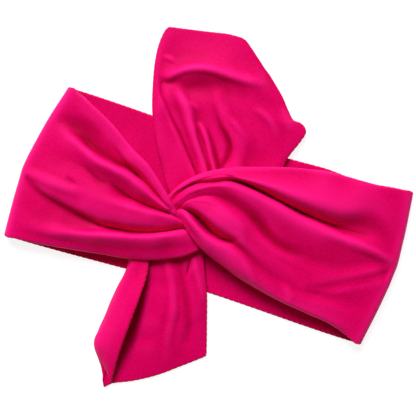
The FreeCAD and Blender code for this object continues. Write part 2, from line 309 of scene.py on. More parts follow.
def unit(vectors: np.ndarray) -> np.ndarray:
    """Vectors of length 1 in the same directions."""
    return vectors / np.maximum(np.linalg.norm(vectors, axis=-1, keepdims=True), 1e-9)


def run_lengths(grid: np.ndarray, axis: int = 0) -> np.ndarray:
    """The distance of each point from its line's start, along an axis of the grid."""
    gaps = np.linalg.norm(np.diff(grid, axis=axis), axis=-1)
    return np.concatenate([np.zeros_like(np.take(gaps, [0], axis)), gaps], axis).cumsum(axis)


def points_at(line: np.ndarray, distances: np.ndarray) -> np.ndarray:
    """The points of a line at distances from its start."""
    run = run_lengths(line)
    return np.stack([np.interp(distances, run, line[:, k]) for k in range(3)], axis=1)


def even_rail(rail: Rail, count: int) -> np.ndarray:
    """Samples a rail's smooth curve at even distances.

    Args:
        rail: The rail.
        count: How many samples.

    Returns:
        The samples, in mm.
    """
    points = np.reshape(rail, (-1, 1, 3))
    dense = spline(points, [RAIL_SAMPLES] * (len(points) - 1))[:, 0]
    return points_at(dense, np.linspace(0, run_lengths(dense)[-1], count))


def loft(
    rails: tuple[Rail, ...], creased: tuple[Crease, ...], count: int, pitch: float = 0.8
) -> np.ndarray:
    """Spans rails with one smooth surface, and presses creases into it.

    Args:
        rails: The rails, side by side, each from the same end of the cloth.
        creased: The creases.
        count: How many rows, along the rails.
        pitch: About how far apart the columns are, in mm.

    Returns:
        The surface's grid: rows, columns and x, y, z in mm.
    """
    lines = np.array([even_rail(rail, count) for rail in rails])
    gaps = np.linalg.norm(np.diff(lines, axis=0), axis=2).mean(axis=1)
    counts = [max(4, round(gap / pitch)) for gap in gaps]
    grid = spline(lines, counts).transpose(1, 0, 2)
    at = np.concatenate([[0], np.cumsum(counts)])
    lift = np.zeros(grid.shape[:2])
    for crease in creased:
        first, last = (at[min(rail, len(at) - 1)] for rail in crease.rails)
        lift[:, first : last + 1] += crease.lift(grid[:, first : last + 1])
    grid[:, :, 2] += lift
    return grid


def relaxed(grid: np.ndarray, times: int, hold: int = 0) -> np.ndarray:
    """Evens out small kinks, as cloth does, and leaves the border where it is.

    Args:
        grid: The surface.
        times: How many times each point moves half way to the middle of its neighbours.
        hold: How many rows at the start stay as they are.

    Returns:
        The smoother surface.
    """
    grid = grid.copy()
    for _ in range(times):
        middle = (grid[2:, 1:-1] + grid[:-2, 1:-1] + grid[1:-1, 2:] + grid[1:-1, :-2]) / 4
        moved = (grid[1:-1, 1:-1] + middle) / 2
        first = max(hold - 1, 0)
        grid[1 + first : -1, 1:-1] = moved[first:]
    return grid


def normals(grid: np.ndarray) -> np.ndarray:
    """The unit normals of a grid, which are along +Z where rows run to +X and columns to +Y."""
    return unit(np.cross(np.gradient(grid, axis=0), np.gradient(grid, axis=1)))


def soft_noise(shape: tuple[int, int], cells: tuple[int, int], seed: int) -> np.ndarray:
    """Smooth seeded noise over a grid, longer along the cloth where there are fewer cells.

    Args:
        shape: The grid's rows and columns.
        cells: How many random cells there are along and across.
        seed: The seed.

    Returns:
        A height of about -1 to 1 for each point.
    """
    rng = np.random.default_rng(seed)
    coarse = rng.uniform(-1, 1, (cells[0] + 1, cells[1] + 1))
    fine = []
    for axis, size in enumerate(shape):
        at = np.linspace(0, cells[axis], size)
        low = np.minimum(at.astype(int), cells[axis] - 1)
        share = at - low
        fine.append((low, share * share * (3 - 2 * share)))
    (i, u), (j, v) = fine
    u, v = u[:, None], v[None, :]
    top = coarse[i][:, j] * (1 - v) + coarse[i][:, j + 1] * v
    bottom = coarse[i + 1][:, j] * (1 - v) + coarse[i + 1][:, j + 1] * v
    return top * (1 - u) + bottom * u


def with_rims(grid: np.ndarray, steps: tuple[float, ...]) -> np.ndarray:
    """Adds rows and columns close to the edges, so that the plies can close over a rounded edge.

    Args:
        grid: The surface.
        steps: How far in the added lines are, as shares of the border cell.

    Returns:
        The surface with the lines added.
    """
    for axis in (0, 1):
        count = grid.shape[axis]
        near = np.array(steps)
        at = np.sort(np.concatenate([np.arange(count, dtype=float), near, count - 1 - near]))
        below = np.minimum(at.astype(int), count - 2)
        share = (at - below).reshape((-1, 1, 1) if axis == 0 else (1, -1, 1))
        grid = np.take(grid, below, axis) * (1 - share) + np.take(grid, below + 1, axis) * share
    return grid


def relief(grid: np.ndarray, out: np.ndarray) -> np.ndarray:
    """How far each point stands out of the cloth around it, or lies below it.

    Args:
        grid: The surface.
        out: Its normals.

    Returns:
        About -1 at the bottom of a deep crease to 1 on a sharp crest.
    """
    around, total = grid, np.zeros(grid.shape[:2])
    # fine relief, then broad: how often the cloth is evened out, and the height in mm that counts
    for times, height in ((14, 1.6), (70, 3.2)):
        for _ in range(times):
            for axis in (0, 1):
                first, last = np.take(around, [0], axis), np.take(around, [-1], axis)
                wide = np.concatenate([first, around, last], axis=axis)
                count = around.shape[axis]
                both = np.take(wide, range(count), axis) + np.take(wide, range(2, count + 2), axis)
                around = (both + 2 * around) / 4
        total += ((grid - around) * out).sum(axis=2) / height
    return np.clip(total, -1, 1)


def wrinkled(
    grid: np.ndarray,
    seed: int,
    cells: tuple[tuple[int, int], tuple[int, int]],
    heights: tuple[np.ndarray, np.ndarray],
) -> np.ndarray:
    """Adds fine creases that run with the pleats, and broader dents, but none close to the edges.

    Args:
        grid: The smooth surface.
        seed: The creases' seed. The dents have the next one.
        cells: How many random cells the creases and the dents have, along and across.
        heights: How high they stand in mm, in each row.

    Returns:
        The wrinkled surface.
    """
    rows, columns = grid.shape[:2]
    noise = [soft_noise((rows, columns), cell, seed + k) for k, cell in enumerate(cells)]
    border = np.minimum(np.arange(columns), np.arange(columns)[::-1])[None, :]
    lift = (noise[0] * heights[0] + noise[1] * heights[1]) * np.clip(border / SMOOTH_BORDER, 0, 1)
    return grid + normals(grid) * lift[:, :, None]


# ---------------------------------------------------------------- cloth


def new_piece(
    name: str, corners: list, faces: list, material: bpy.types.Material
) -> bpy.types.Object:
    """Makes a smooth mesh and puts it in the scene.

    Args:
        name: The piece's name.
        corners: The corners, in metres.
        faces: The corners' numbers, face by face.
        material: The material.

    Returns:
        The new object.
    """
    mesh = bpy.data.meshes.new(name)
    mesh.from_pydata(corners, [], faces)
    mesh.validate()
    mesh.shade_smooth()
    mesh.materials.append(material)
    piece = bpy.data.objects.new(name, mesh)
    bpy.context.scene.collection.objects.link(piece)
    log.info("%s: %d faces", name, len(mesh.polygons))
    return piece


@dataclass
class Cloth:
    """Two plies of jersey sewn together along their edges, on both sides of one surface."""

    middle: np.ndarray
    ply: float = 0.8  # mm
    edge: float = 0.14  # mm, how thick a ply still is at its very edge
    parted: float = 0.02  # mm between each ply and the surface
    rims: tuple[float, ...] = (0.1, 0.25, 0.5)  # the added lines, in shares of the border cell
    proud: float = 0.04  # mm, how far the stitches' line is outside the edge

    def __post_init__(self) -> None:
        """Adds the rims, and works out the normals, the thickness and the cloth's own plane."""
        self.middle = with_rims(self.middle, self.rims)
        self.out = normals(self.middle)
        along, across = run_lengths(self.middle, 0), run_lengths(self.middle, 1)
        inset = np.minimum(across, across[:, -1:] - across)
        inset = np.minimum(inset, np.minimum(along, along[-1:] - along))
        near = 1 - np.clip(inset / self.ply, 0, 1)
        self.thick = self.edge + (self.ply - self.edge) * np.sqrt(1 - near * near)
        self.relief = relief(self.middle, self.out)
        self.flat = np.stack([along, across - across[:, -1:] / 2], axis=2) * MM

    def piece(self, name: str, side: Side, material: bpy.types.Material) -> bpy.types.Object:
        """Makes one ply as a closed piece.

        Args:
            name: The piece's name.
            side: Which ply.
            material: The cloth's material.

        Returns:
            The new object.
        """
        lift = self.out * side.value
        outer = self.middle + lift * self.thick[:, :, None]
        inner = self.middle + lift * self.parted
        rows, columns = self.middle.shape[:2]
        count = rows * columns
        corners = np.concatenate([outer.reshape(-1, 3), inner.reshape(-1, 3)]) * MM
        index = np.arange(count).reshape(rows, columns)
        a, b = index[:-1, :-1].ravel(), index[1:, :-1].ravel()
        c, d = index[1:, 1:].ravel(), index[:-1, 1:].ravel()
        top = np.stack([a, b, c, d] if side is Side.FACE else [a, d, c, b], axis=1)
        border = np.concatenate([index[0, :-1], index[:-1, -1], index[-1, :0:-1], index[:0:-1, 0]])
        after = np.roll(border, -1)
        wall = np.stack([border, after, after + count, border + count], axis=1)
        wall = wall if side is Side.FACE else wall[:, ::-1]
        faces = np.concatenate([top, top[:, ::-1] + count, wall])
        piece = new_piece(name, corners.tolist(), faces.tolist(), material)
        mesh = piece.data
        layer = mesh.uv_layers.new(name="cloth")
        ends = np.zeros(len(mesh.loops), dtype=np.int32)
        mesh.loops.foreach_get("vertex_index", ends)
        plane = self.flat.reshape(-1, 2)[ends % count]
        layer.data.foreach_set("uv", plane.astype(np.float32).ravel())
        # the relief is the mask that the material paints shade in creases and a highlight on crests
        # from
        depth = mesh.attributes.new("relief", "FLOAT", "POINT")
        painted_light_mask = self.relief.ravel() * side.value
        depth.data.foreach_set("value", np.tile(painted_light_mask, 2).astype(np.float32))
        return piece

    def edge_line(self, last: bool) -> np.ndarray:
        """The line between the plies along the first or last side edge, a little outside it."""
        edge, inner = (-1, -5) if last else (0, 4)
        line = self.middle[:, edge]
        return line - unit(self.middle[:, inner] - line) * self.proud

    def flat_size(self) -> tuple[float, float]:
        """The cloth's greatest width and its length down the middle, in metres."""
        middle = self.flat.shape[1] // 2
        width = float((self.flat[:, -1, 1] - self.flat[:, 0, 1]).max())
        return width, float(self.flat[-1, middle, 0])


def stitched(
    name: str, lines: list[np.ndarray], material: bpy.types.Material, radius: float = 0.2
) -> bpy.types.Object:
    """Makes a seam's thread: round stitches along lines, with a short gap after each.

    Args:
        name: The piece's name.
        lines: The lines to sew along, in mm.
        material: The thread's material.
        radius: The thread's radius in mm.

    Returns:
        The new object.
    """
    first, stitch, gap, sides = 0.4, 3.0, 0.5, 6  # mm, mm, mm and a stitch's corners round
    turns = np.arange(sides) * 2 * math.pi / sides
    rings = ((0, 0.45), (0.12, 1), (0.5, 1), (0.88, 1), (1, 0.45))  # place and size in a stitch
    place, size = np.array(rings).T
    corners, faces = [], []
    for line in lines:
        for start in np.arange(first, run_lengths(line)[-1] - stitch, stitch + gap):
            path = points_at(line, start + stitch * place)
            ahead = unit(np.gradient(path, axis=0))
            side = unit(np.cross(ahead, (0.0, 0.3, 1.0)))
            up = np.cross(side, ahead)
            round_ = side[:, None] * np.cos(turns)[:, None] + up[:, None] * np.sin(turns)[:, None]
            base = len(corners)
            ring = path[:, None] + round_ * (radius * size)[:, None, None]
            corners.extend((ring.reshape(-1, 3) * MM).tolist())
            for low in range(base, base + (len(path) - 1) * sides, sides):
                for k in range(sides):
                    a, b = low + k, low + (k + 1) % sides
                    faces.append((a, b, b + sides, a + sides))
            faces.append(tuple(reversed(range(base, base + sides))))
            faces.append(tuple(range(len(corners) - sides, len(corners))))
    return new_piece(name, corners, faces, material)


# ---------------------------------------------------------------- the strips and the tails


@dataclass(frozen=True)
class Crease:
    """A line along which the laid cloth stands up or sinks in, as if a finger had stroked it."""

    path: Rail  # x and y, with how far the cloth is lifted there in place of z
    left: float  # how far it reaches on the left of the way that the path runs, in mm
    right: float  # the same on its right
    rails: tuple[int, int] = (0, 99)  # the first and the last rail that it acts between

    def lift(self, grid: np.ndarray) -> np.ndarray:
        """Works out how far the crease lifts each point.

        Args:
            grid: The surface.

        Returns:
            The lift of each point of the grid, in mm.
        """
        path = np.reshape(self.path, (-1, 1, 3))
        line = spline(path, [CREASE_SAMPLES] * (len(path) - 1))[:, 0]
        start, step = line[:-1], np.diff(line, axis=0)
        gap = grid[:, :, None, :2] - start[:, :2]
        along = (gap * step[:, :2]).sum(axis=3) / (step[:, :2] ** 2).sum(axis=1)
        along = np.clip(along, 0, 1)
        gap -= along[..., None] * step[:, :2]
        far = np.linalg.norm(gap, axis=3)
        side = step[:, 0] * gap[..., 1] - step[:, 1] * gap[..., 0]
        height = start[:, 2] + along * step[:, 2]
        best = far.argmin(axis=2)[..., None]
        # each value at the nearest stretch of the path
        far, side, height = (np.take_along_axis(v, best, 2)[..., 0] for v in (far, side, height))
        share = np.clip(far / np.where(side > 0, self.left, self.right), 0, 1)
        return height * (1 - share * share) ** 2


# each wing's rails from its side fold to where it goes under the other strip at the knot, from the
# edge towards +Y to the one towards -Y
LEFT_WING: tuple[Rail, ...] = (
    (-103.4, 49.6, 8, -79.6, 33.5, 9.6, -60.8, 19.7, 10.8, -46.6, 10.4, 11.8, -35.9, 2.8, 12.4,
     -27.4, -3.5, 12, -21.4, -7.5, 10.6, -13.2, -11.3, 8),
    (-103.6, 49, 8, -77.2, 36.4, 12.6, -57.2, 23.8, 14.6, -45.4, 16.9, 15.8, -35.5, 8.6, 16.4,
     -27.5, 1, 15.8, -21.3, -4.6, 13.4, -13.5, -10.6, 8.6),
    (-104.7, 45, 8, -80.8, 32, 12, -62.5, 19.8, 14, -48.4, 13.6, 15.2, -37.1, 5.7, 16.2,
     -28.1, -1.3, 15.8, -21.6, -5.8, 14, -13.5, -10.3, 8.8),
    (-108.2, 33, 8, -87, 20.4, 7.6, -70.4, 14.1, 8, -56.8, 11.8, 8.6, -44.8, 7.1, 9.8,
     -34.1, 1.2, 11.8, -24.9, -4.4, 11.4, -13.5, -10.6, 8.6),
    (-110.5, 24, 8, -89, 16.5, 12.2, -72.7, 11, 14, -57.4, 8.4, 15, -46.4, 4.4, 16,
     -35.2, -0.5, 16.4, -24.8, -5.3, 15, -14.6, -9.3, 9),
    (-113.9, 8, 8, -92.1, 5.5, 11.6, -78.5, 3.2, 12.4, -67.1, 1, 12.4, -57, -3, 11.8,
     -47.6, -4.8, 11.4, -35.4, -6.3, 11.4, -23.4, -6.7, 11.4, -14.6, -9.6, 8.8),
    (-115.2, 1, 8, -92.8, -2.8, 12.8, -80.8, -4.9, 14, -71.9, -7.1, 14.8, -58.1, -8.7, 15.4,
     -43.2, -9.3, 15.8, -31.8, -8.4, 15.4, -22.1, -7.9, 13, -13.6, -10, 8.8),
    (-116.2, -7, 8, -95.5, -10.1, 13.2, -80.3, -11.9, 14.8, -68.6, -13.2, 15.8, -56.8, -13.1, 16.2,
     -42.2, -12.6, 16.2, -30.4, -10.9, 15.8, -19.6, -9.1, 13.6, -12.5, -10.1, 9.2),
    (-116.1, -10, 8, -102, -15.3, 11.4, -84.7, -18.9, 13, -71.2, -20.5, 14, -59.9, -20.3, 14.6,
     -42.7, -18.2, 14.8, -29, -15.4, 14.2, -17.3, -11.4, 12, -10.6, -11, 8.8),
    (-116, -15, 8, -102.4, -19.2, 9.2, -85.8, -23, 9.8, -73.1, -24.9, 9.6, -61.4, -25.9, 9,
     -50.3, -25.1, 8.6, -36.6, -22.4, 8.6, -24.9, -18.3, 8.8, -15, -13.4, 8.8, -8.1, -12.2, 8.2),
    (-115.9, -25, 8, -100.4, -31, 9.4, -82.5, -31.4, 10.4, -68.3, -30, 11, -54.4, -27.7, 11.4,
     -39.4, -23.9, 11.6, -24.6, -19, 11.4, -14.8, -14.2, 10, -7.4, -13, 8.4),
    (-115.4, -38, 8, -94.8, -38.7, 11.2, -75, -34.8, 13.4, -56.9, -30.3, 14.8, -41.8, -26.6, 15.4,
     -27.1, -21.7, 15.2, -15.6, -16.9, 13, -6.4, -14.1, 8.6),
    (-115.1, -44, 8, -93.7, -42.4, 9.8, -73.5, -39.5, 10.6, -54.8, -37, 11.2, -39.5, -34, 11.6,
     -24.8, -29.1, 11.6, -12.1, -22.8, 11, -3.8, -18.2, 8.8),
    (-114.8, -49, 8, -92.4, -46.6, 8.2, -72.1, -44.2, 8.2, -53.4, -41.8, 8.4, -37.9, -39.3, 8.8,
     -23, -35.1, 9.2, -10.2, -29.1, 9.4, -1.7, -22.4, 8.8),
    (-114.8, -49.6, 8, -92.9, -44.9, 7.2, -72.7, -42.2, 7.1, -54, -39.5, 7.3, -38.6, -36.9, 7.6,
     -23.8, -32.6, 8, -11.1, -26.4, 8.2, -2.3, -20.5, 8),
)
LEFT_WING_CREASES: tuple[Crease, ...] = (
    Crease((-69.9, -24.9, -0.4, -61.5, -25.8, -1.8, -53, -25.4, -2.2, -39.1, -22.8, -2.4,
            -25.8, -18.4, -2.4, -16.6, -13.7, -2.2, -10.8, -10.1, -0.8), 2, 2.6),
    Crease((-63.7, 0, -0.3, -56.9, -3.3, -1.8, -47.5, -5.1, -2.8, -35.3, -6.6, -2.8,
            -25.3, -6.4, -1.8), 2, 2.6),
    Crease((-92.3, -3.6, 0, -87.9, -5.8, -1, -82.7, -7.4, 0), 2.2, 2.2),
    Crease((-86.3, 7.7, 0, -78.3, 2.8, -0.8, -71.6, -0.8, -0.9, -65.7, -1.4, 0), 3, 3),
    Crease((-100.8, 19.9, 0, -91.9, 19.7, 0.7, -84.9, 15.9, 1.1, -77.6, 11.5, 1.4, -69.9, 10.2, 1.3,
            -60.7, 9.3, 1.1, -52.8, 7.4, 0.9, -45.7, 3.5, 0.3), 2.4, 6),
    Crease((-110.3, 27.9, 0, -100.7, 28.4, -0.6, -89.7, 29.3, -0.8, -80.7, 26.4, -0.5,
            -74.4, 21.8, 0), 7, 6),
    Crease((-119.7, -9.9, -0.3, -111.1, -14.2, -0.7, -102.5, -17.7, -0.8, -86.6, -21.6, -0.8,
            -74.2, -24, -0.8, -67.3, -25.4, 0), 4, 6),
    Crease((-119.8, -7.4, 0.8, -105.2, -9.1, 1.2, -90, -10.5, 1, -75.4, -10.1, 0), 4.5, 4),
    Crease((-74.4, 25.1, 0, -63.4, 18.1, -1, -54.2, 11.9, -1.4, -45, 6, -1.6, -34.5, 0.3, -1.6,
            -24.5, -3.8, -0.6), 2, 1.8),
)
RIGHT_WING: tuple[Rail, ...] = (
    (110.6, 49.6, 8, 90.2, 45.4, 7.8, 66.3, 44.1, 8.2, 43.2, 40, 8.8, 21, 33, 9.4, 3.4, 27, 9.8,
     -9.6, 19.1, 10, -19.5, 10.9, 10, -25.2, 4, 9.6, -29.5, -3.3, 8),
    (110.6, 49.2, 8, 89.8, 46.6, 9, 65.7, 45.9, 9.8, 42.4, 42.6, 11, 20, 36.3, 12.2,
     2.4, 30.4, 13.2, -11.6, 23.2, 13.6, -21.8, 14.1, 13, -27.3, 5.4, 11.4, -31.7, -4, 8),
    (111.1, 44, 8, 89.9, 46.1, 9.6, 66.5, 43.3, 11, 43.6, 38.6, 12.4, 21, 33, 13.6, 3.2, 27.7, 15,
     -9.7, 22.2, 15.6, -20.7, 13.1, 15.2, -26.2, 4.6, 12.8, -30.5, -5.3, 8.2),
    (113, 25, 8, 94.3, 32.1, 11.4, 72, 25.3, 15.2, 47.8, 25, 17, 31.2, 26.4, 17.4, 14.9, 26.6, 17.2,
     2.4, 25, 16.6, -9.1, 20.1, 16, -19.7, 13.4, 15.2, -24.9, 5.2, 12.6, -29.5, -5.4, 8.2),
    (113.6, 15, 8, 97.8, 20.5, 9, 74.8, 16.1, 8.8, 54.9, 17.7, 9.2, 37.9, 20.3, 9.8, 20.8, 23.2, 11,
     6, 23.9, 13.4, -7, 18.8, 14.6, -18.1, 12.5, 14.4, -23.6, 5.1, 12, -28.3, -5.9, 8.2),
    (114.2, 3.5, 8, 101.1, 9.8, 11, 76.6, 10.4, 12.4, 56.3, 13.2, 13.6, 39, 16.5, 15.2,
     21.7, 20.2, 17, 6.9, 20.9, 18, -6, 16.5, 18, -15.5, 10.5, 17, -21.4, 3.7, 13.8,
     -26.5, -6.8, 8.4),
    (113.7, -3, 8, 103.8, 0.9, 9.5, 81.5, -5.9, 10, 57.4, -5.8, 11.2, 41.8, -2, 12.4, 30, 1.6, 13.4,
     16.9, 6.8, 15, 5.6, 10.2, 16, -5.1, 9.8, 16, -13.3, 6, 14.6, -19, 0.5, 11.8, -24.7, -8.4, 8.4),
    (113.2, -9, 8, 106, -6.5, 10, 84.5, -15.5, 10.8, 60.4, -15.6, 12, 44.7, -11.5, 13.4,
     28.6, -5, 15.4, 15.2, 1.7, 17.2, 3.4, 5.9, 17.6, -7.2, 5.9, 17, -15.1, 3.7, 15.2,
     -19.2, 0.3, 12.4, -24.2, -8.4, 8.4),
    (112.1, -17, 8, 103.4, -13.8, 9.4, 83.6, -23.1, 10.6, 59.1, -22.5, 12.6, 41.5, -18.1, 14.4,
     26.7, -12.1, 16.6, 15.5, -7.1, 18.2, 7.3, -4.3, 18.8, -0.8, -1.5, 18.4, -10, 1, 16.6,
     -17.5, -0.2, 13, -23.2, -9, 8.4),
    (111.1, -24, 8, 83.2, -27.2, 10, 58.9, -27.4, 12, 39.7, -22.7, 13.6, 25.6, -16.5, 14.6,
     15.4, -12.3, 13.4, 8.6, -11.1, 11.4, 1.5, -9.3, 10.4, -6.7, -5.3, 10.6, -14.5, -2, 11,
     -19.5, -2.1, 10.8, -22.7, -9.4, 8.4),
    (109.1, -36, 8, 84.5, -34.1, 11, 59.3, -33.7, 12.6, 40.2, -29.8, 14.2, 26.9, -23.4, 15.6,
     16.8, -17.9, 16.6, 8.8, -16.1, 17.2, 1.4, -14.2, 17.4, -5.7, -10.6, 17.4, -11.3, -7, 16.6,
     -15.8, -4, 14.6, -19.7, -3.3, 12, -22.3, -9.7, 8.4),
    (107.7, -44, 8, 84.9, -40.8, 10.4, 59.5, -37.2, 12, 38.7, -32.7, 13.2, 23.4, -27.7, 14,
     10.6, -23.2, 14.6, 1.8, -19.7, 14.8, -5.2, -15.4, 14.8, -11.3, -10.7, 14.6, -15.9, -6.5, 13.6,
     -20.1, -4.2, 11.8, -22.5, -10.1, 8.2),
    (106.9, -48.8, 8, 93, -43.2, 7.8, 72.4, -39.5, 7.8, 52.2, -37.2, 8, 33.2, -33.3, 8.6,
     15.2, -27.4, 9.8, 0.9, -22.1, 11.6, -6.1, -17.7, 13, -11.7, -13, 12.8, -16.2, -7.9, 12,
     -20.5, -5, 11, -22.7, -10.5, 8),
    (106.8, -49.6, 8, 91, -41.2, 6.8, 71, -37.3, 6.6, 51.9, -35, 6.8, 33.4, -30.9, 7.2,
     16.4, -25.1, 8.2, 3.2, -20.1, 9.8, -3.8, -16.1, 11.4, -9.9, -12.1, 11.2, -15, -8.2, 10.6,
     -19.6, -6, 10, -22.6, -11, 7.8),
)
RIGHT_WING_CREASES: tuple[Crease, ...] = (
    Crease((-27, 1.8, -0.4, -24.1, 6.9, -1.8, -18.7, 13.1, -2, -12.9, 16.8, -1.8, -6.6, 19, -1.4,
            -0.4, 20.9, -0.6), 1.5, 1.5),
    Crease((2, 25.2, -0.6, 7.3, 24.8, -2.6, 13.9, 24.4, -3.4, 24.1, 22.9, -3.6, 34.4, 21.2, -3.8,
            48.1, 18.6, -4, 61.6, 16.9, -3.6, 73.3, 15.9, -3, 84.8, 15.2, -1.8,
            97.6, 15.9, 0), 1.8, 5),
    Crease((-22.1, -1.9, -0.4, -15.6, -2, -1, -9.1, -3.7, -1.8, -3, -7.7, -2.6, 2.6, -11, -3,
            8.7, -12.6, -3.6, 14, -11.9, -2.8, 18.5, -9.2, -0.4), 2.8, 3.2),
    Crease((-24, 0.5, 0, -15.2, 4.7, 0.4, -5.8, 6.7, 0.6, 2.6, 5.2, 0.8, 10.6, 1.9, 1, 17.5, -2, 1,
            21.3, -7.3, 0.6, 23.7, -13, 0), 4, 6.5),
    Crease((-8.6, 13.3, 0, 1.3, 12.6, -0.8, 11.7, 10.4, -1.5, 20.8, 7.2, -2, 29.4, 2.8, -2.4,
            35.8, -2, -2.4, 42.6, -5.6, -2, 52.8, -7.4, -1.2, 62.6, -7.6, 0), 6, 4.5),
    Crease((119.3, 0.3, -0.3, 113.1, -3, -0.8, 102, -9.3, -0.9, 88.1, -16.8, -0.8, 74.1, -24, -0.7,
            65.1, -26.3, 0), 6, 4),
    Crease((117.5, 6.4, 0.5, 106.7, 7.2, 1.1, 93.3, 8.7, 1.2, 76.8, 9.7, 0.8, 63.8, 9.8, 0), 5, 3),
    Crease((19.6, -12.6, 0, 27, -20.9, 0.5, 33.7, -28.6, 0.5, 39.2, -34.2, 0), 3, 4),
    Crease((50.9, -25, 0, 56.2, -29, 0.6, 60.1, -34.3, 0.6), 3.5, 4.5),
)

# each tail's rails from the inside of the knot to its end
UPPER_TAIL: tuple[Rail, ...] = (
    (-11.9, -10.4, 6.2, -22.2, 0.5, 5, -31, 8, 5.4, -38.4, 20.7, 5, -45, 31.6, 4.6, -51.3, 44.3, 4,
     -54.3, 51.5, 3.6, -58.5, 66.4, 2.6, -61.4, 80.1, 1.8, -62.4, 91.1, 1.3, -61.3, 100.9, 1.1,
     -59.7, 104, 0.95),
    (-10.9, -9.8, 6.6, -20, 2.8, 5.35, -27.9, 9.6, 5.88, -34, 22, 6.1, -41.3, 32.8, 5.8,
     -48, 45.3, 5.4, -51.6, 52.3, 5.4, -56.2, 67.1, 3.8, -59.4, 80.7, 2.7, -60.2, 91.8, 1.88,
     -57.4, 101.4, 1.35, -55.2, 104.7, 0.95),
    (-9.8, -9.2, 6.2, -13.8, 7.9, 5.25, -19.3, 20.8, 6, -28.5, 33.4, 6.2, -36.2, 42.4, 5.85,
     -44.2, 51.3, 5.45, -49.3, 57.9, 5.4, -53.1, 66.4, 4.05, -54, 75.9, 3.75, -53.7, 86.5, 2.38,
     -49.7, 99.9, 1.47, -46.4, 106.2, 0.95),
    (-9, -8.7, 6.8, -10.4, 9.5, 5.22, -15.5, 22, 6.27, -25.6, 35.1, 6.4, -32.7, 44.3, 6,
     -41.3, 53.8, 5.65, -45.9, 62.1, 5.4, -48.2, 69.6, 4.3, -47.7, 76.5, 5.75, -48, 85, 3.2,
     -45.1, 98.1, 1.73, -41.8, 107, 0.95),
    (-8.1, -8.5, 6.2, -8, 10.8, 5.25, -12.4, 24.1, 6.3, -20.4, 35.9, 6.45, -25.6, 42.4, 6.1,
     -33.7, 52.9, 5.55, -37.9, 61.4, 5.4, -40.9, 70.2, 4.1, -41.1, 80, 7.15, -41.6, 87.8, 3.95,
     -38.9, 99.1, 2, -36.7, 107.9, 0.95),
    (-7.2, -8.2, 6.8, -5.1, 12, 5.25, -9.7, 25.9, 6.3, -17.1, 38.5, 6.5, -22.6, 46.9, 6.25,
     -27.1, 55.7, 5.55, -29.9, 63.8, 5.4, -32.7, 73, 3.93, -34.4, 82.8, 7.5, -34.8, 90.5, 4.35,
     -32.3, 100.3, 2.2, -29.8, 109.2, 0.95),
    (-6.3, -7.9, 6.2, -2.9, 13.1, 5.25, -6.9, 26.3, 6.25, -12.7, 38.3, 6.35, -17.2, 46.6, 6.15,
     -20.8, 55.2, 5.75, -24.1, 65.6, 5.4, -26.3, 75.3, 4.22, -27, 85.3, 7.55, -27.5, 92.7, 4.55,
     -25.8, 101.5, 2.35, -24.5, 110.2, 0.95),
    (-5.4, -7.8, 6.8, 1.5, 14.6, 5.28, -3, 28.3, 6.25, -7.6, 39.8, 6.2, -12.3, 49.7, 6,
     -15.9, 58.4, 5.8, -18.6, 67.2, 5.55, -19.6, 77, 4.58, -18.8, 86, 7.35, -19.3, 93.9, 4.55,
     -18.9, 102, 2.45, -18.9, 110.6, 0.95),
    (-4.4, -7.8, 6.2, 5.7, 15.7, 5.3, 1.6, 28.8, 6.15, -0.8, 41.9, 6.1, -2.6, 48.7, 5.95,
     -8.8, 57.3, 5.85, -13, 64.9, 5.7, -13.6, 75.3, 5.08, -10.5, 85.9, 7.05, -11.4, 92.5, 4.45,
     -12.1, 100, 2.5, -12.6, 110.2, 0.95),
    (-3.4, -7.9, 6.6, 15.1, 17.9, 5.35, 9.4, 31.2, 6.1, 6, 44, 6.35, 2.8, 52.7, 6.35,
     -1.4, 61.2, 6.25, -4.3, 69.2, 6.05, -4.9, 77.9, 5.6, -2.7, 85.7, 6.5, -3, 91.5, 4.2,
     -4.2, 97.6, 2.3, -7.1, 106.4, 0.95),
    (-2.5, -7.9, 6.2, 25.1, 19.8, 5.2, 20.5, 34.6, 5.75, 17.4, 47.5, 6.15, 14, 56.1, 6.3,
     10.1, 64.7, 6.1, 7, 71, 5.8, 5.2, 78.6, 5.3, 5.3, 85.6, 5.25, 4.7, 90.6, 3.55, 2.4, 95.6, 1.9,
     -1.2, 101.4, 0.95),
    (-1.5, -7.9, 6.2, 32.5, 22.1, 4.8, 29.7, 37.5, 5.4, 29.4, 47.9, 5.4, 27.9, 55.5, 5.4,
     24.6, 62.6, 5.4, 20, 69.3, 5.4, 16.2, 75.4, 4.05, 13.6, 81.1, 3.55, 11.3, 86.1, 2.6,
     8.5, 90.9, 1.57, 4.4, 96.8, 0.95),
    (-0.4, -8.2, 5.8, 35.7, 23.1, 4.4, 33.3, 39.4, 4.2, 34.6, 47.9, 4, 39.2, 60, 3.6, 40.5, 66.4, 3,
     37, 70, 2.6, 31.8, 70.3, 2.4, 26, 76, 2, 20.9, 82.2, 1.6, 15.8, 87.2, 1.3, 9.1, 93.2, 0.95),
)
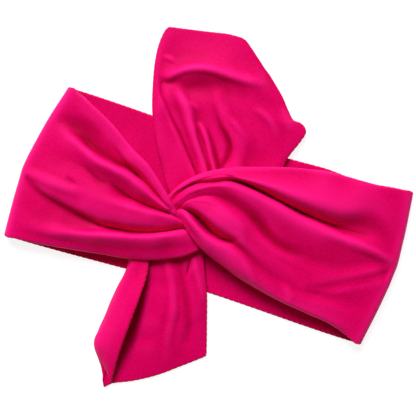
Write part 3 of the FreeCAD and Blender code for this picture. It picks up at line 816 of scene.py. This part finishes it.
UPPER_TAIL_CREASES: tuple[Crease, ...] = (
    Crease((-53.5, 67.9, -0.5, -50.6, 61.5, -1, -46.4, 56.5, -1.3, -41.1, 49.7, -1.6,
            -33.5, 41.6, -1.9, -25.1, 31.2, -1.9, -16.9, 21.4, -1.8, -12.1, 14.1, -0.8), 2.2, 1.8),
    Crease((-46, 54, 0, -41.1, 47.4, 0.7, -34.8, 39.6, 0.7, -28.5, 31.8, 0), 1.2, 2.6),
    Crease((-43.4, 69.7, 0.3, -38.2, 63.5, 1.9, -33.1, 57.3, 2.7, -27.8, 48.5, 3.1, -21.9, 40, 3.1,
            -16.1, 31.4, 3, -11, 23.2, 2.8, -6.8, 15.8, 1.4), 3.6, 5),
    Crease((-34.7, 62.6, 0, -30.6, 61.3, 0.9, -25, 58.5, 0), 1.8, 2.4),
    Crease((-24.6, 47.6, -0.3, -22.4, 43.4, -1.6, -17, 35.3, -2.6, -9.3, 24.7, -2.6,
            -5.4, 17.8, -1.2), 1.5, 1.5),
    Crease((-25, 52, 0, -21.6, 49.5, 1.6, -16.9, 43.5, 2.6, -11.8, 35.3, 2.8, -6.4, 26.4, 2.6,
            -2.8, 18.6, 1.2), 2, 2),
    Crease((-18.2, 49.9, -0.2, -13.9, 44.4, -1.4, -9.3, 37.7, -1.8, -5.2, 30.8, -1.8,
            -0.9, 20.8, -1.2), 1.9, 1.7),
    Crease((-17, 62.9, -0.3, -10, 54, -1.5, -5.2, 49, -2.5, -1.5, 43.6, -2.9, -0.4, 36.8, -2.4,
            -1.6, 30, -1.4, -0.9, 22.4, -0.6), 2, 4.2),
    Crease((-23.1, 79.7, 0.3, -15.3, 67.9, 1, -7.8, 57.3, 1.4, -0.1, 49.2, 1.8, 4.3, 41.5, 1.8,
            6.4, 31.1, 1.6, 7.6, 21.8, 0.8), 7, 5.5),
    Crease((-52.2, 72.2, 0.4, -47.9, 76.1, 1.3, -41.5, 80.7, 1.7, -33.4, 83.8, 1.7,
            -25.9, 84.8, 1.7, -18.1, 84.6, 1.6, -10.2, 84.4, 1.4, -0.1, 85.2, 0.9,
            8, 86.2, 0), 4.6, 3),
    Crease((-55.2, 73.6, 0, -52.5, 71.1, -0.9, -48.9, 70.9, -1, -45, 73.1, -0.5,
            -40.6, 75.4, 0), 2.5, 4),
    Crease((-58.5, 85.2, 0, -52.4, 84.8, 1, -46.8, 83, 0), 2, 2.4),
    Crease((20.6, 76.8, 0, 24.9, 72.4, 1.2, 29.8, 65.8, 1, 31.5, 62.3, 0), 2.2, 2.2),
    Crease((4.8, 70.3, 0, 11.7, 68.7, 1, 20.1, 63.7, 1.1, 25.2, 56.3, 0), 4, 3),
    Crease((-7, 61.1, 0, -1.7, 57, 1, 5.7, 51.2, 0.9, 9.3, 45, 0), 4, 3),
)
LOWER_TAIL: tuple[Rail, ...] = (
    (-16.4, -9.1, 6.2, -5.3, -14.6, 3.8, 0.9, -23.2, 3.7, 6.7, -36.8, 3.5, 11.2, -47.6, 3.4,
     16.4, -64.7, 1.9, 19.9, -76.6, 1.3, 22.2, -84.8, 0.95),
    (-16.8, -9.2, 6.8, -7, -15.1, 4.08, -0.8, -24.9, 4.63, 4.1, -37.7, 4.53, 7.9, -48.6, 4.39,
     12.7, -65.8, 2.84, 15.7, -77.9, 1.79, 17.9, -88.2, 0.95),
    (-17.4, -9.4, 6.2, -10, -16, 4.12, -5.9, -26.4, 4.71, -2.5, -39.7, 4.67, 1.8, -51.3, 4.67,
     7.6, -67.4, 3.44, 10.4, -79.5, 2.17, 12.7, -92.4, 0.95),
    (-18, -9.6, 6.8, -13.3, -17, 4.08, -10.1, -28.5, 4.43, -6.6, -40.9, 4.42, -3, -52.8, 4.63,
     2.3, -69, 3.91, 5.5, -82.6, 2.56, 7.2, -96.7, 0.95),
    (-18.6, -9.7, 6.2, -18.6, -18.7, 4.12, -16.6, -31, 4.42, -13.7, -43.1, 4.54, -8.9, -54.6, 4.93,
     -3, -70.6, 4.55, 0.6, -85.7, 3.07, 1.7, -101.1, 0.95),
    (-19.2, -9.9, 6.8, -23.9, -20.3, 4.03, -22.3, -33.6, 4.23, -19.7, -44.9, 4.43,
     -15.6, -58.3, 4.75, -10.6, -74.6, 4.31, -7.1, -91.3, 2.92, -5.6, -106.3, 0.95),
    (-19.8, -10.1, 6, -29.9, -22.1, 3.76, -28.2, -36.2, 3.73, -27.4, -47.3, 3.79, -24.8, -61.1, 3.8,
     -22.7, -78.3, 3.03, -20, -96.9, 2.03, -17, -112.8, 0.95),
    (-20.4, -10.3, 5.6, -35.9, -24.7, 4.12, -34.5, -39.7, 3.68, -34, -49.3, 3.12, -33.7, -63.8, 2.6,
     -33.7, -81.6, 1.7, -30.6, -100.1, 1.2, -29.1, -118.3, 0.95),
    (-21, -10.5, 5.4, -41.8, -26.6, 4.5, -40.2, -42.3, 4, -40, -49.5, 3.3, -42.4, -61.6, 2.5,
     -44.1, -79.9, 1.6, -45.9, -95.4, 1.2, -42.4, -102.1, 1.1, -35, -111.2, 1, -33.1, -121.6, 0.95),
    (-21.5, -10.6, 5.8, -42.4, -26.7, 5.4, -39.9, -42.2, 5.2, -40, -47.2, 4.8, -41.6, -59.4, 4.2,
     -43.9, -80.7, 3.4, -46.3, -95.5, 2.8, -42.6, -102.5, 2.4, -34.2, -111.9, 2),
    (-22, -10.8, 6.4, -41.1, -26.3, 6.2, -38.6, -41.8, 6.6, -38.2, -47.3, 6.6, -39.8, -59.2, 6.4,
     -42.2, -79.4, 5.6, -44.3, -96.2, 4.6, -40.6, -103.2, 3.8, -33.1, -112.2, 2.8),
    (-21.4, -10.6, 7, -38.1, -25.4, 6.8, -34.5, -39.7, 6.9, -33.5, -47.5, 7.8, -34.3, -59.1, 9.2,
     -36.1, -79.1, 9.6, -37.3, -97.3, 7.6, -31.3, -114.9, 3.8),
    (-20.2, -10.2, 6.6, -34.1, -24.2, 6.4, -29.4, -37.4, 6.8, -27.7, -45, 8.6, -27.5, -54.6, 11,
     -28.6, -75.5, 12.4, -29.7, -97.4, 9.6, -29.3, -118.2, 3.4),
)
LOWER_TAIL_CREASES: tuple[Crease, ...] = (
    Crease((-26.1, -25.8, 0.3, -17.5, -36.1, 0.8, -11.2, -47.2, 1, -5.8, -61.7, 1.1, -4.2, -77.5, 1,
            -2.1, -89.8, 0.4, -0.2, -98.9, 0), 3.4, 4.4, rails=(0, 6)),
    Crease((-12.1, -30.4, -0.3, -5.7, -43.9, -0.9, 2.1, -57.7, -1.1, 6.8, -70.9, -0.9,
            8, -83.5, 0), 3.6, 4.2, rails=(0, 6)),
    Crease((-35, -27.7, -0.3, -25.6, -26.5, -0.9, -10.8, -21.9, -0.9,
            -1.6, -17.5, -0.3), 9, 8, rails=(0, 7)),
    Crease((-5.3, -28.4, -0.6, -4.7, -32.2, -2, -4.3, -37, -1.6,
            -3.6, -42.4, 0), 1.4, 1.4, rails=(0, 6)),
    Crease((-2.5, -29.9, 0.6, 2.3, -38.2, 1, 7.2, -46.4, 0.7, 10.8, -53.4, 0), 2, 2, rails=(0, 6)),
    Crease((-27.2, -48.8, -0.4, -26.5, -63.2, -1.3, -25.7, -79.2, -1.6, -25.6, -92.1, -1,
            -25.9, -105.2, 0), 5, 6.5, rails=(0, 7)),
)


@dataclass(kw_only=True)
class Panel:
    """A stretch of the cloth: two plies over one surface, and the stitches along its edges."""

    name: str
    rails: tuple[Rail, ...]
    creased: tuple[Crease, ...]
    seed: int
    nodes: tuple[str, ...]  # the nodes that each ply stands for, with {} for the ply
    strand: tuple[str, ...] = ()  # the knot's strand that the face stands for as well

    def middle(self) -> np.ndarray:
        """The panel's middle surface, with its columns so that +Z is the face's side."""
        raise NotImplementedError

    def hold(self, piece: bpy.types.Object) -> None:
        """Lets a piece move with its body."""
        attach(piece, "band")

    def area(self, cloth: Cloth) -> float | None:
        """The cut area in square metres, or None where the cut is a rectangle."""
        return None

    def seams(self, cloth: Cloth) -> list[np.ndarray]:
        """The lines that are sewn."""
        return [cloth.edge_line(False), cloth.edge_line(True)]

    def build(self, jersey: bpy.types.Material, thread: bpy.types.Material) -> None:
        """Makes the two plies and the stitches.

        Args:
            jersey: The cloth's material.
            thread: The stitches' material.
        """
        cloth = Cloth(self.middle())
        for side in Side:
            ply = side.name.lower()
            piece = cloth.piece(f"{self.name}_{ply}_cloth", side, jersey)
            strand = self.strand if side is Side.FACE else ()
            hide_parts(*(node.format(ply) for node in self.nodes), *strand)
            self.hold(piece)
        piece = stitched(f"{self.name}_edge_stitches", self.seams(cloth), thread)
        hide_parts(f"{self.name}_edge_thread")
        self.hold(piece)


@dataclass(kw_only=True)
class Strip(Panel):
    """One of the two strips, from the nape seam over its side fold and its wing to the knot."""

    side: int  # -1 for the left strip, 1 for the right one
    drawn_in: float = 0.0  # mm, how far the back's upper edge dips short of the fold
    back_height: float = 0.8  # mm, of the back's middle surface
    fold_radius: float = 3.6  # mm
    narrowing: float = 0.06  # how much narrower the strip is at the nape than at its fold
    nape: float = 0.2  # mm, half the gap at the nape seam
    ripple: float = 0.35  # mm, of the faint waves in the back, which is laid by hand
    rows: tuple[int, int, int] = (45, 14, 170)  # of the back, the fold and the wing
    pull: float = 0.28  # mm, of the fine creases that run with the pleats
    dents: float = 0.42  # mm
    cells: tuple = ((7, 24), (16, 9))  # of the creases and the dents, along and across

    def back(self, start: np.ndarray) -> np.ndarray:
        """Lays the back of the strip, from the nape to its fold.

        Args:
            start: The wing's first row, where it comes out of the fold.

        Returns:
            The grid of the back.
        """
        x, y = start[None, :, 0], start[None, :, 1]
        share = np.linspace(0, 1, self.rows[0] + 1)[:-1, None]
        ease = share * share * (3 - 2 * share)
        back = np.empty((len(share), len(start), 3))
        back[:, :, 0] = self.nape * self.side * (1 - share) + x * share
        dip = self.drawn_in * np.sin(math.pi * np.clip((share - 0.5) * 2, 0, 1)) ** 2
        dip = dip * np.clip(y / y.max(), 0, 1) ** 2
        back[:, :, 1] = y * (1 - self.narrowing * (1 - ease)) - dip
        waves = soft_noise(back.shape[:2], (9, 5), self.seed + 7) * 0.5 + 0.5
        bulge = np.sin(np.linspace(0, math.pi, len(start)))[None, :] * np.sin(math.pi * share)
        back[:, :, 2] = self.back_height + self.ripple * waves * bulge
        return back

    def middle(self) -> np.ndarray:
        """The strip's middle surface.

        Returns:
            The grid, with its rows from the nape to the knot.
        """
        wing = loft(self.rails, self.creased, self.rows[2])
        back = self.back(wing[0])
        turns = np.linspace(0, math.pi, self.rows[1] + 1)[:-1, None]
        fold = np.repeat(wing[:1], len(turns), axis=0)
        fold[:, :, 0] += self.side * self.fold_radius * np.sin(turns)
        fold[:, :, 2] = self.back_height + self.fold_radius * (1 - np.cos(turns))
        held = len(back)
        grid = relaxed(np.concatenate([back, fold, wing]), 2, held)
        share = np.clip((np.arange(len(grid)) - held) / (len(grid) - held), 0, 1)[:, None]
        heights = (share * self.pull, np.minimum(share * 3, 1) * self.dents)
        grid = wrinkled(grid, self.seed, self.cells, heights)
        return grid[:, ::-1] if self.side < 0 else grid


@dataclass(kw_only=True)
class Tail(Panel):
    """One of the two tails, with the hidden stretch that leads to it from the knot."""

    hinge: tuple[float, float, float]  # mm, a point of the line that it lifts about
    outward: tuple[float, float]  # the direction in the plane from the hinge to the tail's end
    bend: tuple[float, float] = (-5.0, 9.0)  # mm from the hinge, where the bend starts and ends
    rows: int = 150
    lowest: float = 0.86  # mm, so that the lining clears the floor
    pull: float = 0.2  # mm, of the fine creases that run with the pleats
    dents: float = 0.34  # mm
    cells: tuple = ((8, 22), (12, 9))  # of the creases and the dents, along and across

    def middle(self) -> np.ndarray:
        """The tail's middle surface.

        Returns:
            The grid, with its rows from the knot to the tail's end.
        """
        grid = relaxed(loft(self.rails, self.creased, self.rows), 2)
        share = np.linspace(0, 1, self.rows)[:, None]
        body = np.clip(share * 4, 0, 1) * np.clip((1 - share) * 5, 0, 1)
        heights = (self.pull * (1 - share) * body, self.dents * body)
        grid = wrinkled(grid, self.seed, self.cells, heights)
        grid[:, :, 2] = np.maximum(grid[:, :, 2], self.lowest)
        up = normals(grid)[self.rows * 2 // 3, grid.shape[1] // 2, 2]
        return grid[:, ::-1] if up < 0 else grid

    def hold(self, piece: bpy.types.Object) -> None:
        """Bakes the piece's placement into its mesh."""
        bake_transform(piece)

    def area(self, cloth: Cloth) -> float:
        """The cut area in square metres: the length times the mean width."""
        widths = cloth.flat[:, -1, 1] - cloth.flat[:, 0, 1]
        return float(widths.mean() * cloth.flat_size()[1])

    def seams(self, cloth: Cloth) -> list[np.ndarray]:
        """The lines that are sewn, with the tail's end."""
        return [*super().seams(cloth), cloth.middle[-1]]


# ---------------------------------------------------------------- the studio


@dataclass(frozen=True)
class Lamp:
    """A square light that looks at the object."""

    name: str
    azimuth: float  # degrees anticlockwise from the right of the camera's view
    elevation: float  # degrees
    distance: float  # m
    size: float  # m, its side
    power: float  # W
    colour: tuple[float, float, float]  # linear

    def build(self, turn: float) -> None:
        """Adds the light.

        Args:
            turn: The camera's turn about the vertical, in degrees.
        """
        bearing, rise = math.radians(self.azimuth + turn), math.radians(self.elevation)
        level = self.distance * math.cos(rise)
        height = self.distance * math.sin(rise)
        place = (level * math.cos(bearing), level * math.sin(bearing), height)
        bpy.ops.object.light_add(type="AREA", location=place)
        lamp = bpy.context.object
        lamp.name = self.name
        lamp.data.size = self.size
        lamp.data.energy = self.power
        lamp.data.color = self.colour
        lamp.rotation_euler = (math.pi / 2 - rise, 0, bearing + math.pi / 2)


@dataclass
class Studio:
    """A white floor, a large soft light beyond the upper tail, a weak fill and a camera above."""

    turn: float = 17.0  # degrees, of the camera about the vertical
    view: float = 255.4  # mm, how wide the camera's view is at the object
    centre: tuple[float, float] = (-3.64, 3.43)  # mm, what the camera looks at
    top: float = 8.0  # mm, the height that the view is measured at
    focal: float = 85.0  # mm
    sensor: float = 36.0  # mm
    floor: float = 24.0  # m, wide enough to have no edge in any view
    ambient: tuple[float, ...] = (1.0, 0.75, 0.45, 1.0)  # warm, as light thrown back by the cloth
    strength: float = 0.14
    lamps: tuple[Lamp, ...] = (
        Lamp("key_light", 105.0, 42.0, 6.0, 3.2, 505.0, (1.0, 0.97, 1.18)),
        Lamp("fill_light", 190.0, 40.0, 4.0, 2.0, 12.0, (1.0, 0.8, 0.75)),
    )

    def build(self) -> None:
        """Makes the floor, the lights and the camera."""
        bpy.ops.object.select_all(action="DESELECT")
        bpy.ops.mesh.primitive_plane_add(size=self.floor, location=(0, 0, -0.1 * MM))
        floor = bpy.context.object
        floor.name = "floor"
        floor.data.transform(floor.matrix_world)
        floor.matrix_world.identity()
        floor.data.materials.append(PaperSweep().build())
        for lamp in self.lamps:
            lamp.build(self.turn)
        world = bpy.data.worlds.new("studio")
        world.use_nodes = True
        background = world.node_tree.nodes["Background"]
        background.inputs["Color"].default_value = self.ambient
        background.inputs["Strength"].default_value = self.strength
        bpy.context.scene.world = world
        bpy.context.scene.view_settings.view_transform = "Standard"
        self.camera()

    def camera(self) -> None:
        """Adds the camera, straight above and turned about the vertical."""
        height = self.view * self.focal / self.sensor + self.top
        bpy.ops.object.camera_add(
            location=(self.centre[0] * MM, self.centre[1] * MM, height * MM),
            rotation=(0, 0, math.radians(self.turn)),
        )
        camera = bpy.context.object
        camera.name = "camera"
        camera.data.lens = self.focal
        camera.data.sensor_width = self.sensor
        bpy.context.scene.camera = camera


def main() -> None:
    """Builds the headband and the studio."""
    logging.basicConfig(level=logging.INFO, format="%(name)s: %(message)s")
    bpy.ops.object.select_all(action="DESELECT")
    Studio().build()
    jersey = Jersey().build()
    thread = SewingThread().build()
    nape = bpy.data.objects["nape_seam_thread"]
    nape.data.materials.clear()
    nape.data.materials.append(thread)
    panels = (
        Strip(
            name="left_strip",
            rails=LEFT_WING,
            creased=LEFT_WING_CREASES,
            side=-1,
            seed=11,
            nodes=("back_left_{}_ply", "left_fold_{}_ply", "left_wing_{}_ply"),
        ),
        Strip(
            name="right_strip",
            rails=RIGHT_WING,
            creased=RIGHT_WING_CREASES,
            side=1,
            seed=23,
            drawn_in=2.2,
            nodes=("back_right_{}_ply", "right_fold_{}_ply", "right_wing_{}_ply"),
            strand=("knot_over_strand",),
        ),
        Tail(
            name="upper_tail",
            rails=UPPER_TAIL,
            creased=UPPER_TAIL_CREASES,
            seed=31,
            hinge=(-2.4, 31.0, 4.8),
            outward=(-0.3007, 0.9537),
            nodes=("upper_tail_{}_ply",),
            strand=("knot_upper_pass",),
        ),
        Tail(
            name="lower_tail",
            rails=LOWER_TAIL,
            creased=LOWER_TAIL_CREASES,
            seed=47,
            hinge=(-19.2, -35.9, 4.8),
            outward=(0.3551, -0.9348),
            nodes=("lower_tail_{}_ply", "lower_margin_{}_ply"),
            strand=("knot_lower_pass",),
        ),
    )
    for panel in panels:
        panel.build(jersey, thread)


if __name__ == "__main__":
    main()
